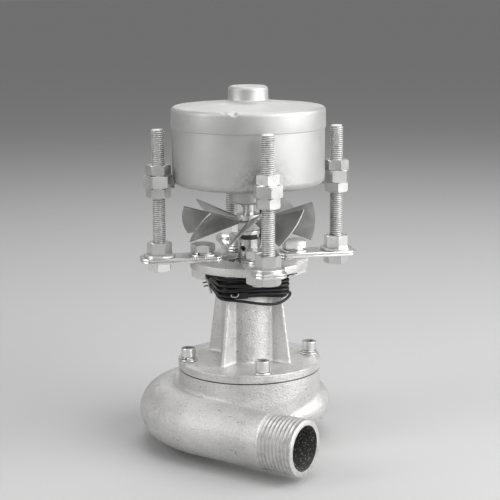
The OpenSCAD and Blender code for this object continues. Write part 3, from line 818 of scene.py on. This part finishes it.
class HYDRO_OT_fasteners(bpy.types.Operator):
    """Threads the tie bolts, breaks the edges of nuts, washers and links, and splits the spring washers"""

    bl_idname = "hydro.fasteners"
    bl_label = "Bolts, Nuts and Links"
    tie_r, socket_r = 0.006, 0.0040
    link_ends = 0.0964, 0.0249

    def execute(self, context):
        settings = context.scene.hydro_fasteners
        colour = settings.zinc
        zinc = finish("zinc", "bright_zinc", colour)
        worn = finish("zinc", "nut_zinc", shade(colour, 0.97))
        cut = threaded("zinc_thread", colour, 0.5, 0.38, 0.45)
        thread = thread_tree()
        for label, angle in zip(("front", "right", "back", "left"), CORNERS):
            node = f"tie_bolt_{label}"
            spot = at_corner(angle, TIE_CIRCLE)
            z0, z1 = low("lower_links").z, high(node).z
            rod = bar(f"tie_thread_{label}", self.tie_r, z0 - 0.001, z1, settings.tie_pitch, 10, 40)
            with_nodes(rod, thread, Pitch=settings.tie_pitch, Depth=0.00092, Start=z0 - 0.02, End=z1 + 0.0004,
                       Fade=0.0016, Material=cut)
            rod.data.transform(Matrix.Translation(spot))
            place(rod, cut, "zinc_steel")
            head = eased(node, 0.0004, worn, "zinc_steel", f"tie_head_{label}")
            cut_below(head, z0)
        for node in ("tie_base_nuts", "lower_lock_nuts", "weld_nuts", "upper_lock_nuts", "link_bolts",
                     "link_nuts"):
            eased(node, 0.0006, worn, "zinc_steel", segments=3)
        screws = eased("column_screws", 0.0011, worn, "zinc_steel", segments=3)
        # faces inside the key sockets get a dark material: painted shade in the sockets
        darken(screws, finish("rubber", "socket_painted_shade", (0.17, 0.17, 0.165)), self.in_socket)
        corners = corner_tree()
        for node, make, outer, inner, radius in (
                ("column_spring_washers", spring_ring, 0.0068, 0.0042, SCREW_CIRCLE),
                ("link_spring_washers", spring_ring, 0.0100, 0.0062, LINK_CIRCLE),
                ("column_flat_washers", flat_ring, 0.0080, 0.0041, SCREW_CIRCLE),
                ("link_flat_washers", flat_ring, 0.0125, 0.0061, LINK_CIRCLE),
                ("tie_washers", flat_ring, 0.0140, 0.0061, TIE_CIRCLE),
                ("lower_links", link_plate, *self.link_ends, 0.0),
                ("upper_links", link_plate, *self.link_ends, 0.0)):
            z0, z1 = span(node)
            piece = make(node + "_shaped", outer, inner, z1 - z0)
            with_nodes(piece, corners, Radius=radius, Height=z0, Material=zinc)
            place(piece, zinc, "zinc_steel", node)
        self.weld(corners)
        return {"FINISHED"}

    def in_socket(self, centre):
        """Whether a face of the cap screws lies inside a key socket, where shade is painted."""
        off = min((at_corner(angle, SCREW_CIRCLE).xy - centre.xy).length for angle in CORNERS)
        return off < self.socket_r and centre.z > high("column_spring_washers").z

    def weld(self, corners):
        """Short weld beads where each welded nut's edge meets the drum."""
        noise.seed_set(7)
        wall = reach("generator_can")
        lo, hi = span("weld_nuts")
        blobs = []
        for side in (-1, 1):
            for k in range(8):
                t = k / 7
                shake = noise.noise_vector(Vector((k * 1.7, side * 3.1, 0.4))) * 0.0006
                r = 0.0017 + 0.0004 * noise.noise(Vector((k * 2.3, side, 1.5)))
                centre = Vector((0.0006, side * 0.0024, (hi - lo) * (0.04 + 0.92 * t))) + shake
                mesh = bpy.data.meshes.new("blob")
                with edited(mesh) as bm:
                    bmesh.ops.create_icosphere(bm, subdivisions=2, radius=r, matrix=Matrix.Translation(centre))
                blobs.append(new_object("blob", mesh))
        bead = fused("weld_beads", blobs, 0.0005, 2)
        metal = finish("dull", "weld_metal", (0.42, 0.42, 0.42))
        with_nodes(bead, corners, Radius=wall, Height=lo, Material=metal)
        place(bead, metal, "zinc_steel")


class HYDRO_OT_drum(bpy.types.Operator):
    """Spins the generator's drum and lid with their seam, rolled edges and small dents"""

    bl_idname = "hydro.drum"
    bl_label = "Generator Drum"

    def execute(self, context):
        lo, hi = span("generator_can")
        r, edge = reach("generator_can"), 0.007
        beside, middle = r / math.sqrt(2), sum(span("weld_nuts")) / 2
        silver = satin_drum("satin_silver", context.scene.hydro_drum.colour, (beside, beside, middle))
        can = [(0, lo), (0.030, lo), *edge_arc(r - edge, lo + edge, edge, -90), (r, hi - 0.0002),
               (r, hi + 0.0004), (0, hi + 0.0004)]
        place(lathe("drum_can", can, 256), silver, "drum_steel", "generator_can")

        lo, crown = span("generator_cover")
        r, edge, rim = reach("generator_cover"), 0.0042, crown - 0.004
        cover = [(0, lo + 0.0002), (r - 0.0005, lo + 0.0002), (r - 0.0001, lo + 0.0006), (r, lo + 0.0014),
                 *edge_arc(r - edge, rim - edge, edge, 0)]
        cover += [(x * MM, rim + (crown - rim) * (63 - x) / 40) for x in range(62, 23, -1)]
        lid = lathe("drum_lid", [*cover, (0.0, crown)], 360)
        self.dent(lid, rim)
        place(lid, silver, "drum_steel", "generator_cover")

        z0, z1 = span("top_boss")
        boss = [(0, z0 - 0.001), (0.0205, z0 - 0.001), (0.0203, z0 + 0.0001), (0.0192, z0 + 0.0006),
                (0.0181, z0 + 0.0013), (0.0176, z0 + 0.0026), *edge_arc(0.0140, z1 - 0.0035, 0.0035, 0),
                (0.0125, z1), (0.0115, z1 - 0.0002), (0, z1 - 0.0002)]
        place(lathe("drum_boss", boss, 128), silver, "drum_steel", "top_boss")
        eased("lower_boss", 0.0003, silver, "drum_steel")
        return {"FINISHED"}

    def dent(self, lid, top):
        """Press marks round the boss and one knock on the rim."""
        marks = [(-100, 0.0305, 0.0024, 0.0010), (-20, 0.031, 0.0024, 0.0008), (70, 0.0305, 0.0026, 0.0010),
                 (160, 0.031, 0.0024, 0.0009), (-67, 0.0662, 0.0022, 0.0016), (-74, 0.0655, 0.0016, 0.0008)]
        for v in lid.data.vertices:
            for angle, radius, size, depth in marks:
                p = at_corner(angle, radius)
                d = (v.co.x - p.x) ** 2 + (v.co.y - p.y) ** 2
                if d < 9 * size * size and v.co.z > top - 0.006:
                    push = depth * math.exp(-d / (size * size))
                    v.co.z -= push
                    if radius > 0.06:
                        v.co.x -= push * 0.5 * math.cos(math.radians(angle))
                        v.co.y -= push * 0.5 * math.sin(math.radians(angle))


class HYDRO_OT_rotor(bpy.types.Operator):
    """Finishes the shaft, coupling, fan and runner"""

    bl_idname = "hydro.rotor"
    bl_label = "Rotor and Fan"

    def execute(self, context):
        drum = context.scene.hydro_drum
        zinc = bpy.data.materials["bright_zinc"]
        ground = finish("ground", "ground_steel", (0.62, 0.62, 0.62))
        sheet = finish("sheet", "fan_sheet", drum.fan_colour)
        dull = finish("dull", "wetted_steel", (0.40, 0.40, 0.39))
        black = finish("rubber", "black_oxide", (0.03, 0.03, 0.032), 0.35)
        eased("fan", 0.00015, sheet, "fan_steel", segments=1)
        steel, oxide = (zinc, "ground_steel"), (black, "cable_black")
        turned, wetted = (ground, "ground_steel"), (dull, "runner_steel")
        for node, width, look in (
                ("fan_cap", 0.0006, steel), ("fan_nut", 0.0004, steel), ("fan_washer", 0.0005, steel),
                ("fan_spacer", 0.0004, oxide), ("shaft_coupling", 0.0005, turned),
                ("coupling_screws", 0.0002, oxide), ("generator_shaft", 0.0003, turned),
                ("turbine_shaft", 0.0003, turned), ("runner", 0.0003, wetted), ("runner_nut", 0.0003, wetted)):
            eased(node, width, *look)
        lo, hi = span("column_bearing")
        races = lathe("bearing_races", rounded([
            (0.00855, lo), (SEAT_R, lo), (SEAT_R, hi), (0.0200, hi), (0.0198, hi - 0.0006),
            (0.0128, hi - 0.0006), (0.0126, hi), (0.00855, hi)], 0.0003, 2), 96)
        place(races, ground, "ground_steel", "column_bearing")
        seal = ring("bearing_seal", 0.0129, 0.0197, hi - 0.001, hi - 0.0004, 0.0002, 96, 2)
        place(seal, black, "gasket")
        gasket = frame["nodes"]["casing_gasket"].data.materials
        gasket.clear()
        gasket.append(finish("rubber", "gasket_rubber", (0.03, 0.03, 0.03), 0.6))
        return {"FINISHED"}


# ---- cable

def route(*points):
    """Points given in tenths of a millimetre."""
    return [tuple(v / 10000 for v in p) for p in points]


# ways of the lead, of the start of the loose turn, which lies above its CAD tube, and of the tail
LEAD = route(
    (-308, 660, 2460), (-316, 678, 2456), (-324, 690, 2440), (-326, 694, 2400), (-328, 696, 2320),
    (-330, 700, 2200), (-334, 710, 2080), (-336, 716, 1960), (-334, 714, 1840), (-330, 700, 1740),
    (-320, 670, 1650), (-306, 620, 1560), (-290, 560, 1490), (-266, 480, 1450), (-244, 400, 1434),
    (-236, 325, 1428), (-245, 255, 1424), (-268, 193, 1420), (-295, 142, 1418))
SLACK = route(
    (-62, -374, 1341), (-20, -396, 1337), (30, -386, 1333), (86, -350, 1327), (150, -304, 1317),
    (220, -250, 1303), (280, -198, 1291), (330, -142, 1285), (364, -90, 1289), (388, -48, 1302),
    (408, 4, 1330))
TAIL = route(
    (-388, 86, 1440), (-412, 46, 1485), (-426, 6, 1522), (-433, -30, 1538), (-437, -62, 1534),
    (-437, -78, 1512), (-434, -74, 1482))
# the square that the coil is wound round: its corners from the axis, and the inner layer's bend at them
CORNER, BEND = 0.0314, 0.0060
# layer (0 inner, 1 outer) of each wound turn and its height at the left and at the right
WINDING = [(1, 0.1422, 0.1405), (1, 0.1452, 0.1470), (0, 0.1468, 0.1468), (0, 0.1497, 0.1497), (1, 0.1511, 0.1516),
           (1, 0.1481, 0.1436), (0, 0.1438, 0.1438), (0, 0.1408, 0.1408), (1, 0.1393, 0.1446), (0, 0.1378, 0.1378),
           (0, 0.1348, 0.1348), (1, 0.1363, 0.1376), (1, 0.1334, 0.1342)]


def on_square(share, corner, bend):
    """Point at a share of a turn round a square with round corners, counter-clockwise from +X."""
    straight = corner * math.sqrt(2)
    arc = bend * math.pi / 2
    side = straight + arc
    along = (share % 1.0) * 4 * side
    quarter = int(along // side) % 4
    rest = along - quarter * side
    turn = quarter * math.pi / 2
    if rest < arc / 2:
        return polar(turn) * corner + polar(turn + rest / bend) * bend
    if rest < arc / 2 + straight:
        a = turn + math.pi / 4
        return polar(turn) * corner + polar(a) * bend + polar(a + math.pi / 2) * (rest - arc / 2)
    turn += math.pi / 2
    return polar(turn) * corner + polar(turn - (side - rest) / bend) * bend


def smooth_line(points, spacing):
    """Even points along a curve that runs smoothly through the given ones."""
    points = [Vector(p) for p in points]
    fine = []
    for i in range(len(points) - 1):
        p0, p1, p2, p3 = (points[min(max(j, 0), len(points) - 1)] for j in (i - 1, i, i + 1, i + 2))
        for k in range(8):
            t = k / 8
            fine.append(0.5 * ((2 * p1) + (p2 - p0) * t + (2 * p0 - 5 * p1 + 4 * p2 - p3) * t * t
                               + (3 * p1 - p0 - 3 * p2 + p3) * t ** 3))
    fine.append(points[-1])
    fine = np.array(fine)
    run = np.concatenate(([0], np.cumsum(np.linalg.norm(np.diff(fine, axis=0), axis=1))))
    at = np.linspace(0, run[-1], int(run[-1] / spacing) + 1)
    return np.stack([np.interp(at, run, fine[:, k]) for k in range(3)], axis=1), float(run[-1])


def wound(diameter, turns):
    """The wound turns from the lead's arrival behind the left rib to where the slack turn leaves."""
    start, leave, points = 0.43, 0.70, []
    plan = WINDING[:turns - 1] + [WINDING[-1]]
    middle, total = 0.1424, len(plan) - 1 + (leave - start) % 1.0
    count = int(total * 44)
    for k in range(count + 1):
        t = total * k / count
        i = min(int(t), len(plan) - 1)
        blend = min(1.0, (t - i) / 0.22)
        blend = blend * blend * (3 - 2 * blend)
        layer, left, right = (a + (b - a) * blend for a, b in zip(plan[max(i - 1, 0)], plan[i]))
        share = start + t
        around = 2 * math.pi * share
        height = left + (right - left) * (0.5 + 0.5 * math.cos(around))
        bulge = max(0.0, math.cos(around - math.radians(228))) ** 2
        spread = 1.0 + 0.1 * math.cos(4 * around) - 0.12 * bulge
        shake = noise.noise_vector(Vector((t * 2.1, 7.7, 1.3)))
        bend = BEND + layer * diameter * 0.92 + 0.0012 * bulge * layer + 0.0003 * shake.x
        p = on_square(share, CORNER, bend)
        points.append((p.x, p.y, middle + (height - middle) * spread + 0.0008 * shake.z))
    return points


def cable_curve(name, line, radius):
    curve = bpy.data.curves.new(name, "CURVE")
    curve.dimensions = "3D"
    curve.bevel_depth = radius
    curve.bevel_resolution = 3
    curve.use_fill_caps = True
    spline = curve.splines.new("POLY")
    spline.points.add(len(line) - 1)
    spline.points.foreach_set("co", np.concatenate([line, np.ones((len(line), 1))], axis=1).ravel())
    spline.use_smooth = True
    return new_object(name, curve)


class HYDRO_OT_cable(bpy.types.Operator):
    """Winds the output cable round the column's head, from its gland to its sleeved end"""

    bl_idname = "hydro.cable"
    bl_label = "Output Cable"

    def execute(self, context):
        settings = context.scene.hydro_cable
        d = settings.diameter
        sheath = finish("rubber", "cable_sheath", settings.colour, 0.38)
        noise.seed_set(7)
        turns = wound(d, settings.turns)
        outer = []
        for k in range(1, 21):
            p = on_square(0.02 + 0.42 * k / 21, CORNER, 0.0107)
            outer.append((p.x, p.y, 0.1340 + 0.0072 * k / 21))
        line, length = smooth_line(LEAD + turns + SLACK + outer + TAIL, 0.0016)
        cable = cable_curve("output_cable", line, d / 2)
        place(cable, sheath, "cable_black", "cable_lead", "cable_coil", "cable_loop")
        gland = eased("cable_gland", 0.0006, sheath, "cable_black")
        wrap = finish("rubber", "wound_tape", (0.006, 0.006, 0.006), 0.6)
        tape = eased("cable_tape", 0.0005, wrap, "cable_black")
        tape.data.transform(Matrix.Translation((0, 0, 0.003)))
        grey = finish("plastic", "sleeve_plastic", (0.62, 0.62, 0.61))
        sleeve = eased("cable_sleeve", 0.0003, grey, "sleeve_grey")
        pale = finish("plastic", "tie_paper", (0.55, 0.55, 0.54))
        stubs = [(f"wire_end_{k}", 0.0006, sheath,
                  route((-424, y, z), (-446, y - 18, z + 8), (-464, y - 40, z + 2)))
                 for k, (z, y) in enumerate(((1365, -18), (1330, -4)))]
        stubs.append(("twist_tie", 0.0004, pale, route(
            (74, -388, 1386), (78, -397, 1372), (98, -386, 1366), (124, -370, 1372), (128, -358, 1394))))
        wires = [place(cable_curve(name, smooth_line(points, 0.0005)[0], thick), material, "cable_black")
                 for name, thick, material, points in stubs]
        return {"FINISHED"}


# ---- stage


class HYDRO_OT_stage(bpy.types.Operator):
    """Sets the pale floor, the soft studio lights and the camera"""

    bl_idname = "hydro.stage"
    bl_label = "Studio Stage"

    def execute(self, context):
        scene = context.scene
        scene.view_settings.view_transform = "Standard"
        bpy.ops.mesh.primitive_circle_add(vertices=96, radius=60, fill_type="TRIFAN")
        floor = context.object
        floor.name = "studio_floor"
        paper = Shader("pale_paper", (0.48, 0.48, 0.48), 0.9)
        floor.data.materials.append(paper.material)

        world = bpy.data.worlds.new("studio_air")
        scene.world = world
        world.use_nodes = True
        air = world.node_tree.nodes["Background"].inputs
        air["Color"].default_value = (0.87, 0.87, 0.87, 1)
        air["Strength"].default_value = 0.35

        middle = Vector((0, 0, 0.16))
        for name, azimuth, elevation, distance, width, height, power in (
                ("right_panel", 100, 26, 1.5, 1.9, 1.3, 34), ("left_panel", -32, 26, 1.5, 0.5, 1.2, 8),
                ("top_panel", 40, 80, 1.6, 1.0, 1.0, 9), ("back_panel", 215, 50, 1.7, 1.2, 0.8, 7)):
            lamp = bpy.data.lights.new(name, "AREA")
            lamp.shape = "RECTANGLE"
            lamp.size, lamp.size_y, lamp.energy = width, height, power
            obj = new_object(name, lamp)
            a, e = math.radians(azimuth), math.radians(elevation)
            away = Vector((math.sin(a) * math.cos(e), -math.cos(a) * math.cos(e), math.sin(e)))
            obj.location = middle + away * distance
            obj.rotation_euler = away.to_track_quat("Z", "Y").to_euler()
        self.camera(scene)
        return {"FINISHED"}

    def camera(self, scene):
        """Sets the camera on a circle round the shaft axis, by angles in degrees."""
        circle, height, azimuth = 1.1722, 0.39816, 33.42
        pan, down, roll = 0.050, 10.967, -0.272
        lens = bpy.data.cameras.new("studio_camera")
        lens.sensor_width = 36
        lens.lens = 96.72
        lens.clip_end = 200
        obj = new_object("studio_camera", lens)
        a = math.radians(azimuth)
        obj.location = (circle * math.sin(a), -circle * math.cos(a), height)
        turns = ((a - math.radians(pan), "Z"), (math.radians(90 - down), "X"), (math.radians(roll), "Z"))
        first, second, third = (Matrix.Rotation(angle, 4, axis) for angle, axis in turns)
        obj.rotation_euler = (first @ second @ third).to_euler()
        scene.camera = obj


# ---- panel

STEPS = ("stage", "cable", "casing", "column", "fasteners", "drum", "rotor")
GROUPS = {"hydro_casting": CastingSettings, "hydro_fasteners": FastenerSettings,
          "hydro_drum": DrumSettings, "hydro_cable": CableSettings}


class HYDRO_PT_panel(bpy.types.Panel):
    """Sizes, colours and building steps of the micro hydro generator"""

    bl_idname = "HYDRO_PT_panel"
    bl_label = "Micro Hydro Generator"
    bl_space_type = "VIEW_3D"
    bl_region_type = "UI"
    bl_category = "Hydro"

    def draw(self, context):
        for name, group in GROUPS.items():
            box = self.layout.box()
            for key in group.__annotations__:
                box.prop(getattr(context.scene, name), key)
        for step in STEPS:
            self.layout.operator(f"hydro.{step}")


CLASSES = (*GROUPS.values(), HYDRO_OT_stage, HYDRO_OT_cable, HYDRO_OT_casing, HYDRO_OT_column, HYDRO_OT_fasteners,
           HYDRO_OT_drum, HYDRO_OT_rotor, HYDRO_PT_panel)


def register():
    for cls in CLASSES:
        bpy.utils.register_class(cls)
    for name, group in GROUPS.items():
        setattr(bpy.types.Scene, name, bpy.props.PointerProperty(type=group))


def unregister():
    for name in GROUPS:
        delattr(bpy.types.Scene, name)
    for cls in reversed(CLASSES):
        bpy.utils.unregister_class(cls)


def main():
    register()
    for step in STEPS:
        getattr(bpy.ops.hydro, step)()


if __name__ == "__main__":
    main()
